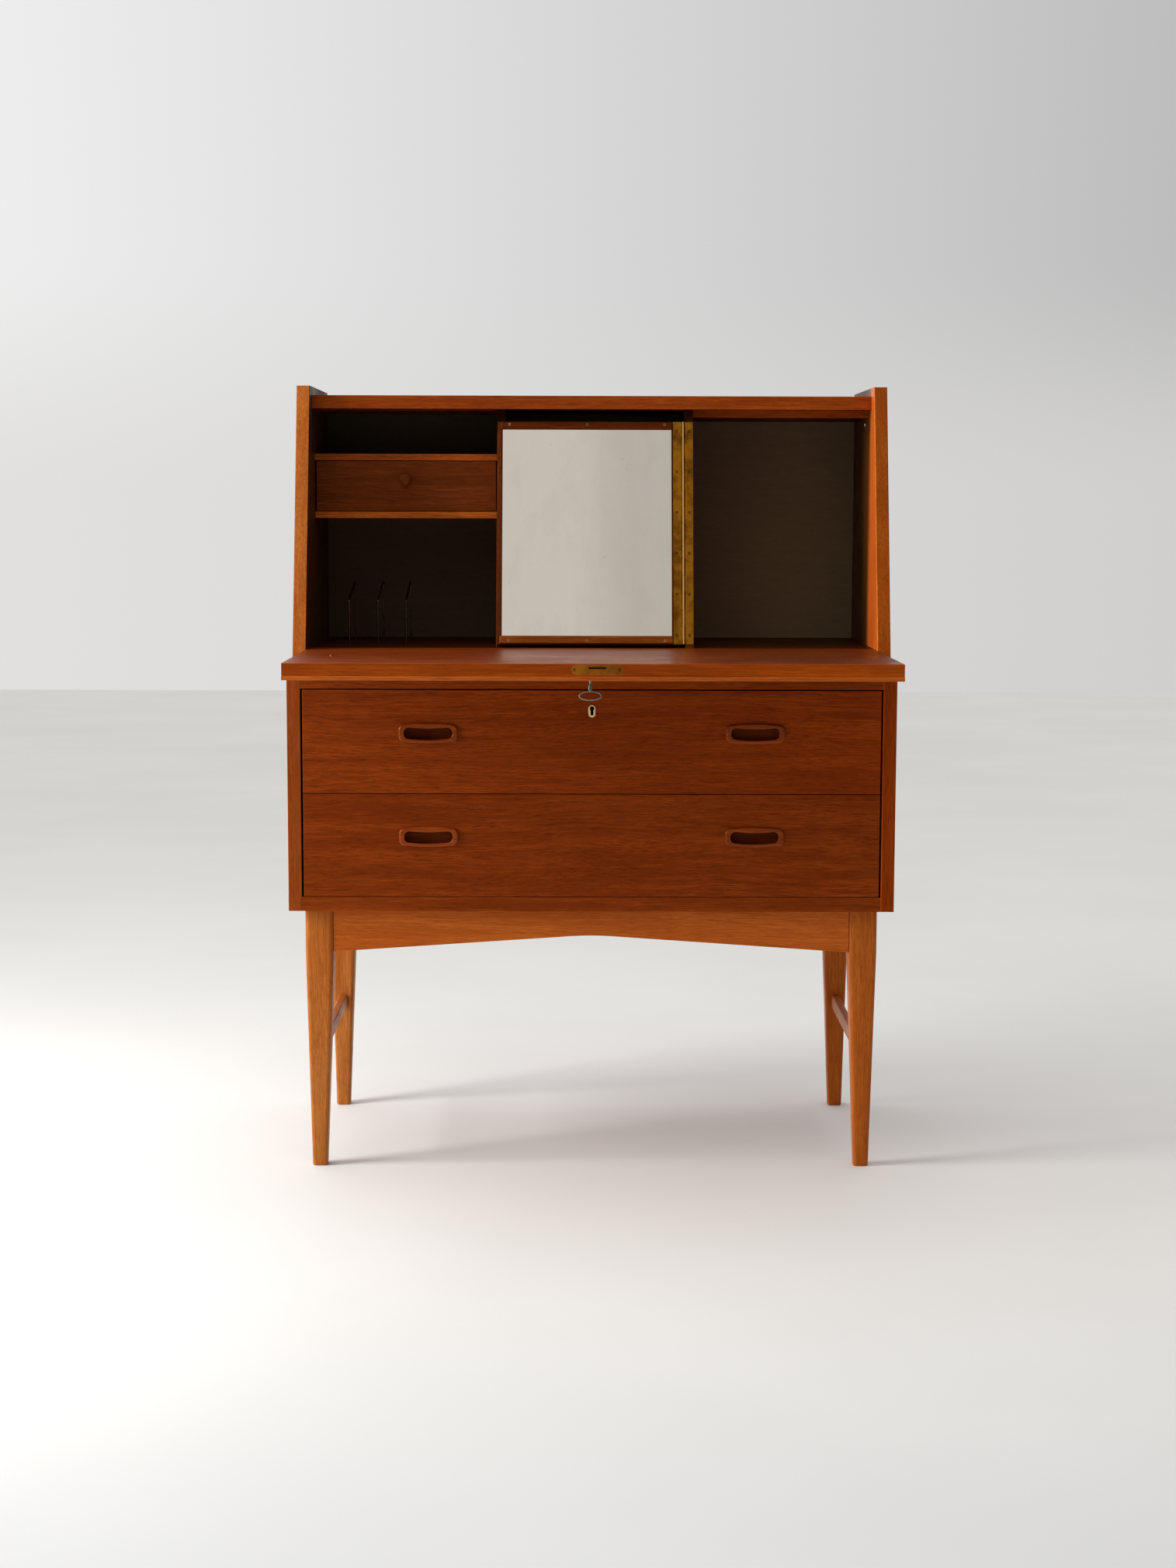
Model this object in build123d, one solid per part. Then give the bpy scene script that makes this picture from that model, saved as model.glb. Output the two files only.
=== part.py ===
from build123d import *
import math
import os

# A teak secretary desk on an oak base, in millimetres.
# X runs to the right, Y to the back and Z up. The floor is Z = 0, and X = 0 and Y = 0 are the
# middle of the whole desk, measured with its writing flap lowered, which is how it is modelled.
# Depths are given from the front of the lower case, positive towards the back: see at().

# ---- driving dimensions ----
width = 850.0
case_depth = 426.0
side_t = 19.0
board_t = 19.0
back_t = 5.3

case_low = 374.0             # underside of the lower case
bottom_board_t = 20.0
drawer_front_h = 144.8
drawer_front_t = 19.0
drawer_gap = 0.9             # between one front and the next
drawer_side_gap = 2.7
rail_low = 686.9             # underside of the rail over the drawers
rail_deep = 20.0
flap_top = 736.5             # writing height
flap_t = 20.6
flap_rest_gap = 0.2
top_low = 1079.6             # underside of the top panel
side_high = 1110.8
slant = 13.2                 # lean of the upper front, degrees from upright
slant_foot = 76.8            # depth of the leaning edge where it meets the lower case
flap_recess = 26.0           # closed flap's outer face behind the leaning edges
flap_lip_t = 5.6
flap_lip_out = 2.5
flap_lip_drop = 1.5          # lip's underside below the board's
flap_reach = 226.0           # how far the open flap's edge stands in front of the lower case
flap_half = 405.2
pivot_inset = 3.5            # flap pivot in from the flap's rear edge and top face
door_recess = 55.0           # mirror door's face behind the leaning edges

leg_top = 40.0
leg_foot = 21.0
leg_straight_low = 312.0     # the legs taper below this height
leg_top_x = 384.4
leg_foot_x = 387.3
leg_front_depth = 40.5
leg_back_depth = 404.5
apron_t = 20.0
apron_peak = 336.5
stretcher_low = 158.0
stretcher_h = 20.0
stretcher_t = 12.0

shelf_t = 9.3
shelf_front = 235.0
shelf_upper_low = 1005.6
shelf_lower_low = 921.3
partition_left_x = -138.5
partition_right_x = 135.4
partition_t = 12.0
divider_x = (-357.5, -315.0, -273.5)
divider_front = (232.0, 800.5)   # depth and height of each wire hoop's front corner
divider_back = (338.0, 826.0)

# ---- values that follow ----
inner = width / 2 - side_t
overall_depth = case_depth + flap_reach + flap_lip_out
sin_s = math.sin(math.radians(slant))
cos_s = math.cos(math.radians(slant))
tan_s = sin_s / cos_s
flap_low = flap_top - flap_t
ledge = flap_low - flap_rest_gap
top_high = top_low + board_t
bottom_board_high = case_low + bottom_board_t
back_face = case_depth - back_t
pivot_z = flap_top - pivot_inset


def at(depth):
    """Y of a depth measured from the front of the lower case."""
    return depth + flap_reach + flap_lip_out - overall_depth / 2


def leaning_depth(z, behind=0.0):
    """Depth of the plane that lies this far behind the leaning front edges, at height z."""
    return slant_foot + (z - ledge) * tan_s + behind / cos_s


pivot_depth = leaning_depth(pivot_z, flap_recess + flap_t - pivot_inset)
flap_rear = pivot_depth + pivot_inset
flap_front = -flap_reach
desk_floor_front = flap_rear + 1.6


# ---- helpers ----
def block(x, depth, z):
    """A box between two values of X, depth and Z."""
    size = (x[1] - x[0], depth[1] - depth[0], z[1] - z[0])
    middle = ((x[0] + x[1]) / 2, at((depth[0] + depth[1]) / 2), (z[0] + z[1]) / 2)
    return Pos(*middle) * Box(*size)


def side_outline(points, x_from, x_to):
    """A panel with this outline of (depth, z) points, between two values of X."""
    outline = Polyline(*[(at(d), z) for d, z in points], close=True)
    return extrude(Plane.YZ.offset(x_from) * make_face(outline), x_to - x_from)


def rod(start, direction, radius, length):
    """A round bar from a point (x, depth, z) along a direction."""
    plane = Plane(origin=(start[0], at(start[1]), start[2]), z_dir=direction)
    return plane * Cylinder(radius, length, align=(Align.CENTER, Align.CENTER, Align.MIN))


def wood_screw(plane, head_r=2.3, shank_r=1.3, length=11.0):
    """A countersunk slotted screw: the plane's origin is the middle of its head's face."""
    outline = Polyline(
        (0, 0), (head_r, 0), (shank_r, -(head_r - shank_r)), (shank_r, -length), (0, -length - 1.5),
        close=True,
    )
    screw = revolve(Plane.XZ * make_face(outline), Axis.Z)
    slot = Pos(0, 0, -0.25) * Box(2 * head_r, 0.6, 0.5)
    return plane * (screw - slot)


def save(name, *solids):
    """Writes one node from its separate solids."""
    shape = solids[0] if len(solids) == 1 else Compound(children=list(solids))
    export_step(shape, os.path.join("parts", name + ".step"))


def mirrored(solid):
    return mirror(solid, about=Plane.YZ)


# ---- oak base ----
def leg(depth):
    """Left leg, square with rounded corners, straight at the top and tapered below the apron."""

    def section(size, x, z, corner):
        return Pos(x, at(depth), z) * RectangleRounded(size, size, corner)

    foot = section(leg_foot, -leg_foot_x, 0, 4.5)
    shoulder = section(leg_top, -leg_top_x, leg_straight_low, 6)
    taper = loft([foot, shoulder])
    post = extrude(shoulder, case_low - leg_straight_low)
    post = chamfer(post.edges().group_by(Axis.Z)[-1], 1.0)
    taper = chamfer(taper.edges().group_by(Axis.Z)[0], 1.2)
    return post + taper


def stretcher():
    """Left stretcher with rounded edges, tenoned into the front and back legs."""
    tenon = 10.0
    share = (leg_straight_low - stretcher_low - stretcher_h / 2) / leg_straight_low
    x = -(leg_top_x + (leg_foot_x - leg_top_x) * share)
    half_leg = (leg_top + (leg_foot - leg_top) * share) / 2
    depth = (leg_front_depth + half_leg - tenon, leg_back_depth - half_leg + tenon)
    span = (x - stretcher_t / 2, x + stretcher_t / 2)
    bar = block(span, depth, (stretcher_low, stretcher_low + stretcher_h))
    return fillet(bar.edges().filter_by(Axis.Y), 2.5)


def apron(depth):
    """A cross rail whose lower edge rises to a soft peak in the middle."""
    half = leg_top_x - leg_top / 2
    peak_half = 30.0
    rise = (apron_peak - leg_straight_low) / half
    shoulder = leg_straight_low + rise * (half - peak_half)
    crest = apron_peak - rise * peak_half / 2
    outline = [
        Line((-half, case_low), (-half, leg_straight_low)),
        Line((-half, leg_straight_low), (-peak_half, shoulder)),
        ThreePointArc((-peak_half, shoulder), (0, crest), (peak_half, shoulder)),
        Line((peak_half, shoulder), (half, leg_straight_low)),
        Line((half, leg_straight_low), (half, case_low)),
        Line((half, case_low), (-half, case_low)),
    ]
    face = Plane.XZ * make_face(Curve() + outline)
    bar = Pos(0, at(depth + apron_t / 2) + apron_t / 2, 0) * extrude(face, apron_t)
    lower = bar.edges().filter_by(lambda e: e.center().Z < apron_peak and e.bounding_box().size.Y < 0.1)
    return fillet(lower.filter_by(lambda e: e.bounding_box().size.X > 1), 1.2)


# ---- case ----
def side_panel():
    """Left side, one board: full depth below the ledge, leaning front edge above it."""
    points = [
        (0, case_low), (case_depth, case_low), (case_depth, side_high),
        (leaning_depth(side_high), side_high), (slant_foot, ledge), (0, ledge),
    ]
    panel = side_outline(points, -width / 2, -inner)
    rebate = block((-inner - 9, -inner), (back_face, case_depth + 1), (case_low - 1, top_high))
    front_limit = at(leaning_depth(side_high)) + 1
    front = panel.edges().filter_by(lambda e: e.center().Y < front_limit and e.length > 100)
    panel = fillet(front.filter_by(lambda e: abs(e.center().X + width / 2) < 0.1), 1.5)
    leaning = panel.edges().filter_by(lambda e: abs(e.center().X + inner) < 0.1 and e.length > 100)
    return fillet(leaning.filter_by(lambda e: 0.1 < abs(e.tangent_at(0.5).Y) < 0.5), 1.0) - rebate


def back_panel():
    return block((-inner - 9, inner + 9), (back_face, case_depth), (case_low, top_high))


def top_panel():
    """Top between the sides: its front edge leans with them, set back under the closed flap's lip."""
    behind = flap_recess + flap_lip_t + 0.5
    points = [
        (leaning_depth(top_low, behind), top_low), (back_face, top_low),
        (back_face, top_high), (leaning_depth(top_high, behind), top_high),
    ]
    return side_outline(points, -inner, inner)


def partition(x, behind):
    points = [
        (leaning_depth(flap_top, behind), flap_top), (back_face, flap_top),
        (back_face, top_low), (leaning_depth(top_low, behind), top_low),
    ]
    return side_outline(points, x, x + partition_t)


def letter_divider(x):
    """A bent wire hoop with its two feet in the desk floor."""
    wire_r, corner, foot = 1.5, 5.0, 8.0
    floor_z = flap_top - foot
    points = [(divider_front[0], floor_z), divider_front, divider_back, (divider_back[0], floor_z)]
    path = FilletPolyline(*[(at(d), z) for d, z in points], radius=corner)
    path = Plane.YZ.offset(x) * path
    return sweep(Plane(origin=path @ 0, z_dir=path % 0) * Circle(wire_r), path)


def side_hook():
    """A small wire hook screwed into the right side under the top."""
    wire_r, bend, reach = 0.8, 4.2, 2.6
    depth, z = 216.0, 1053.5
    start = Vector(inner + 8, at(depth), z)
    turn = Vector(inner - reach, at(depth), z)
    tip = Vector(inner - reach - bend, at(depth), z + bend)
    middle = Vector(
        inner - reach - bend * math.sin(math.pi / 4), at(depth), z + bend * (1 - math.cos(math.pi / 4)),
    )
    point = tip + Vector(0, 0, 2)
    path = Curve() + [Line(start, turn), ThreePointArc(turn, middle, tip), Line(tip, point)]
    hook = sweep(Plane(origin=start, z_dir=(-1, 0, 0)) * Circle(wire_r), Wire(path.edges()))
    collar = rod((inner - 0.8, depth, z), (1, 0, 0), 1.8, 0.8)
    return hook + collar


# ---- drawers ----
runner_rise = 66.0           # from the bottom of a front to the middle of its runner
runner_half = 4.7            # half the runner's height
runner_out = 8.6             # how far the runner stands out of the case's side
groove_half = 5.0
groove_in = 6.2
box_side_t = 12.0
box_h = 120.0
box_rise = 6.0               # from the bottom of a front to the bottom of its box
box_back = 400.0
box_half = inner - drawer_side_gap
bottom_t = 4.0
lower_front_low = bottom_board_high + 0.8
upper_front_low = lower_front_low + drawer_front_h + drawer_gap
pull_x = 228.0
pull_rise = 84.6             # from the bottom of a front to the middle of its pulls


def runner(low):
    """Left runner: the drawer side's groove slides on it."""
    z = (low + runner_rise - runner_half, low + runner_rise + runner_half)
    return block((-inner, -inner + runner_out), (24, 416), z)


def drawer_bottom(low):
    z = low + box_rise + 8
    return block((-box_half + 6, box_half - 6), (drawer_front_t - 6, box_back - 6), (z, z + bottom_t))


def drawer_box(low, bottom):
    """Two grooved sides and a back, housed for the bottom panel."""
    z = (low + box_rise, low + box_rise + box_h)
    side = block((-box_half, -box_half + box_side_t), (drawer_front_t, box_back), z)
    groove = (low + runner_rise - groove_half, low + runner_rise + groove_half)
    side -= block((-box_half - 1, -box_half + groove_in), (drawer_front_t - 1, box_back + 1), groove)
    between = (-box_half + box_side_t, box_half - box_side_t)
    back = block(between, (box_back - box_side_t, box_back), (z[0], z[1] - 14))
    side -= bottom
    return side, mirrored(side), back - bottom


def pull_outline(half_width, top, top_end, low, low_end, corner):
    """A wide rounded shape with curved upper and lower edges, as a face in XZ."""
    outline = [
        ThreePointArc((-half_width, low_end), (0, low), (half_width, low_end)),
        Line((half_width, low_end), (half_width, top_end)),
        ThreePointArc((half_width, top_end), (0, top), (-half_width, top_end)),
        Line((-half_width, top_end), (-half_width, low_end)),
    ]
    face = make_face(Curve() + outline)
    return Plane.XZ * fillet(face.vertices(), corner)


def pull_body(x, z):
    """Body of a pull, proud of the front and let right into it, and the shape of its finger slot."""
    proud, set_in, slot_deep = 4.0, 14.0, 15.5
    shape = pull_outline(41.2, 14.8, 11.2, -14.6, -11.6, 8.0)
    body = extrude(shape, proud + set_in)
    body = fillet(body.edges().group_by(Axis.Y)[0], 2.6)
    slot = extrude(pull_outline(33.8, 6.6, 8.8, -9.8, -6.8, 6.8), slot_deep)
    place = Pos(x, at(set_in), z)
    body = place * body
    slot = Pos(x, at(slot_deep - proud), z) * slot
    eased = body - slot
    mouth = eased.edges().group_by(Axis.Y)[0]
    return fillet(mouth, 0.9), body


def drawer_front(low, bottom):
    """A drawer front with its pulls: returns the board and the two pulls."""
    board = block((-box_half, box_half), (0, drawer_front_t), (low, low + drawer_front_h))
    board = fillet(board.edges().filter_by(lambda e: abs(e.center().Y - at(0)) < 0.01), 0.8)
    pulls = []
    for x in (-pull_x, pull_x):
        pull, seat = pull_body(x, low + pull_rise)
        board -= seat
        pulls.append(pull)
    return board - bottom, pulls


# ---- upper drawer lock ----
lock_half = 22.0
lock_t = 9.0
lock_h = 36.0
drawer_bolt_half = 9.0
drawer_bolt_t = 3.6
drawer_bolt_travel = 8.0
keyhole_r = 3.1
keyhole_slit = 9.5           # from the middle of the round hole down
keyhole_half = 2.0           # half the slit's width
escutcheon_drop = 3.7        # keyhole plate's middle below the round hole
drawer_key_z = 659.9


def keyhole(plane, deep):
    """A round hole with a slit under it, sunk from the plane along its normal."""
    shape = Circle(keyhole_r) + Pos(0, -keyhole_slit / 2) * Rectangle(2 * keyhole_half, keyhole_slit)
    return plane * extrude(shape, -deep)


def drawer_lock(front_high):
    """The lock's case and bolt, housed in the top edge and back of the upper drawer's front."""
    depth = (drawer_front_t - lock_t, drawer_front_t)
    case = block((-lock_half, lock_half), depth, (front_high - lock_h, front_high))
    middle = drawer_front_t - lock_t / 2
    way = block(
        (-drawer_bolt_half - 0.3, drawer_bolt_half + 0.3),
        (middle - drawer_bolt_t / 2 - 0.3, middle + drawer_bolt_t / 2 + 0.3),
        (front_high - 21, front_high + 1),
    )
    bolt = block(
        (-drawer_bolt_half, drawer_bolt_half),
        (middle - drawer_bolt_t / 2, middle + drawer_bolt_t / 2),
        (front_high - 18, front_high - 0.3),
    )
    plane = Plane(origin=(0, at(0), drawer_key_z), x_dir=(1, 0, 0), z_dir=(0, -1, 0))
    hole = keyhole(plane, drawer_front_t - 2)
    return case, way, bolt, hole


def escutcheon(plane):
    """A brass keyhole plate with rounded ends, a little proud of the wood."""
    proud = 0.8
    plate = extrude(SlotOverall(17.4, 9.9, rotation=90), proud)
    plate = Pos(0, -escutcheon_drop, 0) * fillet(plate.edges().group_by(Axis.Z)[-1], 0.4)
    return plane * plate - keyhole(plane.offset(proud), 2 * proud)


# ---- small inner drawer ----
small_x = (-404.4, -140.4)
small_z = (931.6, 1004.4)
small_front_t = 12.0
small_back = 400.0
small_side_t = 8.0


def small_drawer():
    """Front, box and bottom of the drawer between the shelves."""
    front = block(small_x, (shelf_front, shelf_front + small_front_t), small_z)
    front = fillet(front.edges().filter_by(lambda e: abs(e.center().Y - at(shelf_front)) < 0.01), 0.6)
    x0, x1 = small_x[0] + 1.5, small_x[1] - 1.5
    z = (small_z[0] + 0.6, small_z[1] - 4)
    depth = (shelf_front + small_front_t, small_back)
    bottom = block(
        (x0 + 4, x1 - 4), (depth[0] - 5, small_back - 4), (z[0] + 5, z[0] + 5 + bottom_t),
    )
    left = block((x0, x0 + small_side_t), depth, z) - bottom
    right = block((x1 - small_side_t, x1), depth, z) - bottom
    between = (x0 + small_side_t, x1 - small_side_t)
    back = block(between, (small_back - small_side_t, small_back), z) - bottom
    return front - bottom, (left, right, back), bottom


def small_knob():
    """A turned knob with a rounded face and a waisted neck, dowelled into the small drawer's front."""
    outline = Polyline(
        (0, -9), (3.2, -9), (3.2, 0), (5.6, 0), (5.0, 6.5),
        (9.4, 10.5), (9.4, 14.6), (6.0, 17.0), (0, 17.0),
        close=True,
    )
    knob = revolve(Plane.XZ * make_face(outline), Axis.Z)
    round_edges = knob.edges().filter_by(lambda e: e.center().Z > 5)
    knob = fillet(round_edges, 1.2)
    return Plane(origin=(-272.8, at(shelf_front), 976.7), z_dir=(0, -1, 0)) * knob


# ---- flap and its lock ----
lock_x = 4.9                 # middle of the lock plate
key_x = -3.7
key_depth = -211.0
bolt_z = 731.1
plate_half = 33.4
plate_t = 1.6
lipping_deep = 12.0
flap_bolt_half = 11.2
flap_bolt_x = 5.5
flap_bolt_t = 2.2
flap_bolt_set = 3.0          # withdrawn bolt's end behind the plate's face
stud_x = -355.0
stud_depth = -69.0


def flap_board():
    """The flap's board, with its rear edge rounded about the pivot so that it can turn."""
    points = [
        (flap_front + lipping_deep, flap_low), (flap_rear, flap_low),
        (flap_rear, flap_top), (flap_front + lipping_deep, flap_top),
    ]
    board = side_outline(points, -flap_half, flap_half)
    rear = board.edges().filter_by(Axis.X).filter_by(lambda e: e.center().Y > at(flap_rear) - 0.1)
    board = fillet(rear.filter_by(lambda e: e.center().Z > flap_top - 1), pivot_inset)
    rear = board.edges().filter_by(Axis.X).filter_by(lambda e: e.center().Y > at(flap_rear) - 0.1)
    return fillet(rear.filter_by(lambda e: e.center().Z < flap_low + 1), 2.0)


def flap_lipping():
    """The flap's solid front edge: an upright band over a lip that stands a little proud."""
    lip_low = flap_low - flap_lip_drop
    lip_top = lip_low + flap_lip_t
    points = [
        (flap_front + lipping_deep, flap_low), (flap_front + lipping_deep, flap_top),
        (flap_front, flap_top), (flap_front, lip_top), (flap_front - flap_lip_out + 0.9, lip_top - 0.4),
        (flap_front - flap_lip_out, lip_top - 1.6), (flap_front - flap_lip_out, lip_low + 0.8),
        (flap_front - flap_lip_out + 0.8, lip_low),
        (flap_front + 6.0, lip_low), (flap_front + 6.0 + flap_lip_drop, flap_low),
    ]
    return side_outline(points, -flap_half, flap_half)


def rounded_plate(x, z, half_width, height, thick, front):
    """An upright plate with rounded ends, its face at the given depth."""
    shape = Plane.XZ * SlotOverall(2 * half_width, height)
    return Pos(x, at(front + thick), z) * extrude(shape, thick)


def flap_lock():
    """Case, plate, bolt and key of the flap's lock, and the room that each needs in the wood."""
    plate_z = flap_top - 0.6 - 7.0
    plate = rounded_plate(lock_x, plate_z, plate_half, 14.0, plate_t, flap_front)
    seat = plate
    case_x = (lock_x - 29, lock_x + 29)
    case_depth_span = (flap_front + plate_t, flap_front + 30)
    case_z = (719.0, 733.9)
    case = block(case_x, case_depth_span, case_z)
    room = case
    hollow = block(
        (case_x[0] + 1.5, case_x[1] - 1.5), (case_depth_span[0], case_depth_span[1] - 1.5),
        (case_z[0] + 1.5, case_z[1] - 1.2),
    )
    case -= hollow
    bolt_x = (flap_bolt_x - flap_bolt_half, flap_bolt_x + flap_bolt_half)
    bolt_span = (bolt_z - flap_bolt_t / 2, bolt_z + flap_bolt_t / 2)
    bolt = block(bolt_x, (flap_front + flap_bolt_set, flap_front + 21), bolt_span)
    plate -= block(
        (bolt_x[0] - 0.3, bolt_x[1] + 0.3), (flap_front - 1, flap_front + plate_t + 1),
        (bolt_span[0] - 0.3, bolt_span[1] + 0.3),
    )
    case -= rod((key_x, key_depth, case_z[0] - 1), (0, 0, 1), 1.98, 3.5)
    shaft_way = rod((key_x, key_depth, flap_low - 1), (0, 0, 1), 2.6, case_z[0] - flap_low + 1)
    screws = [
        wood_screw(
            Plane(origin=(lock_x + s * 29.6, at(flap_front), plate_z), x_dir=(1, 0, 0), z_dir=(0, -1, 0)),
            head_r=2.0, shank_r=1.1, length=9.0,
        )
        for s in (-1, 1)
    ]
    return plate, seat, case, room, bolt, shaft_way, screws


def flap_key():
    """The key: a bit and shaft in the lock, a collar and an oval bow hanging under the flap."""
    shaft = rod((key_x, key_depth, 700.0), (0, 0, 1), 1.9, 28.0)
    collar = rod((key_x, key_depth, 700.5), (0, 0, 1), 3.0, 7.6)
    collar = fillet(collar.edges(), 0.8)
    bit = block((key_x, key_x + 6.4), (key_depth - 0.9, key_depth + 0.9), (722.4, 727.4))
    ring = Ellipse(15.4, 6.6) - Ellipse(13.4, 4.7)
    bow_plane = Plane(origin=(key_x, at(key_depth), 693.8), x_dir=(1, 0, 0), z_dir=(0, -1, 0))
    bow = bow_plane * extrude(ring, 1.0, both=True)
    bow = fillet(bow.edges(), 0.7)
    return shaft + collar + bit + bow


def pivot_plates(board):
    """Left pair of the flap's pivot plates: the case's plate with its pin, and the flap's plate."""
    thick, pin_r, pin_gap = 2.5, 1.5, 0.05
    case_plate = block(
        (-inner - thick, -inner), (pivot_depth - 6, pivot_depth + 44), (flap_top - 11, flap_top - 0.3),
    )
    pin_length = 2 * thick + inner - flap_half
    case_plate += rod((-inner - thick, pivot_depth, pivot_z), (1, 0, 0), pin_r, pin_length)
    flap_plate = block(
        (-flap_half, -flap_half + thick), (pivot_depth - 50, flap_rear), (flap_top - 9.5, flap_top - 0.6),
    )
    flap_plate = flap_plate & board
    hole = rod((-flap_half - 1, pivot_depth, pivot_z), (1, 0, 0), pin_r + pin_gap, thick + 2)
    return case_plate, flap_plate - hole, flap_plate


# ---- mirror door ----
door_plane = Plane(
    origin=(0, at(leaning_depth(flap_top, door_recess)), flap_top),
    x_dir=(1, 0, 0),
    z_dir=(0, -cos_s, sin_s),
)
door_x = (-136.8, 130.3)
door_up = (4.2, 333.8)
door_t = 14.0
hinge_x = 133.0
hinge_out = 0.6
knuckle_r = 2.3
leaf_t = 1.2
leaf_count = 13
hinge_screw_up = [18.0 + 60.4 * n for n in range(6)]


def door_block(x, up, out):
    """A box in the leaning frame of the mirror door: up along the lean, out towards the front."""
    size = (x[1] - x[0], up[1] - up[0], out[1] - out[0])
    middle = ((x[0] + x[1]) / 2, (up[0] + up[1]) / 2, (out[0] + out[1]) / 2)
    return door_plane * (Pos(*middle) * Box(*size))


def door_screw(x, up, out, head_r=2.2):
    return wood_screw(door_plane * Pos(x, up, out) * Plane.XY, head_r=head_r, shank_r=1.2, length=10.0)


def hinge_bar(radius, up):
    place = Pos(hinge_x, up[0], hinge_out) * Rot(-90, 0, 0)
    bar = Cylinder(radius, up[1] - up[0], align=(Align.CENTER, Align.CENTER, Align.MIN))
    return door_plane * (place * bar)


def hinge_leaf(x, first, bore):
    """One leaf of the piano hinge with every other knuckle, starting at the given one."""
    low, high = door_up[0] + 1, door_up[1]
    step = (high - low) / leaf_count
    leaf = door_block(x, (low, high), (0, leaf_t))
    for n in range(first, leaf_count, 2):
        span = (low + n * step + 0.15, low + (n + 1) * step - 0.15)
        leaf += hinge_bar(knuckle_r, span)
        near = x[1] if x[1] < hinge_x else x[0]
        leaf += door_block((min(near, hinge_x), max(near, hinge_x)), span, (0, leaf_t))
    return leaf - hinge_bar(bore, (low - 1, high + 1))


def mirror_door():
    """Panel, glass, rails, hinge leaves, pin and screws of the mirror door."""
    panel = door_block(door_x, door_up, (-door_t, 0))
    panel = fillet(panel.edges().filter_by(lambda e: e.length > 100), 0.6)
    glass = door_block((-131.2, 117.3), (15.2, 322.6), (0, 4))
    glass_front = glass.edges().filter_by(lambda e: door_plane.to_local_coords(e.center()).Z > 3.9)
    glass = chamfer(glass_front, 1.6)
    rails = []
    for up in ((5.2, 16.4), (321.4, 333.0)):
        rail = door_block((-132.8, 117.6), up, (0, 6))
        outer = rail.edges().filter_by(lambda e: door_plane.to_local_coords(e.center()).Z > 5.9)
        rails.append(fillet(outer, 1.6) - glass)
    rail_screws = [
        door_screw(x, up, 6, head_r=2.0)
        for up in (9.6, 328.6)
        for x in (-120.0, -7.0, 106.0)
    ]
    door_leaf = hinge_leaf((118.4, door_x[1]), 0, 1.05)
    case_leaf = hinge_leaf((135.7, 147.2), 1, 1.0)
    pin = hinge_bar(1.0, (door_up[0] + 1, door_up[1]))
    door_leaf_screws = [door_screw(123.6, up, leaf_t) for up in hinge_screw_up]
    case_leaf_screws = [door_screw(141.6, up, leaf_t) for up in hinge_screw_up]
    return panel, glass, rails, rail_screws, door_leaf, case_leaf, pin, door_leaf_screws, case_leaf_screws


def less(solid, cutters):
    """A solid with each of the others cut from it."""
    for cutter in cutters:
        solid -= cutter
    return solid


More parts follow.
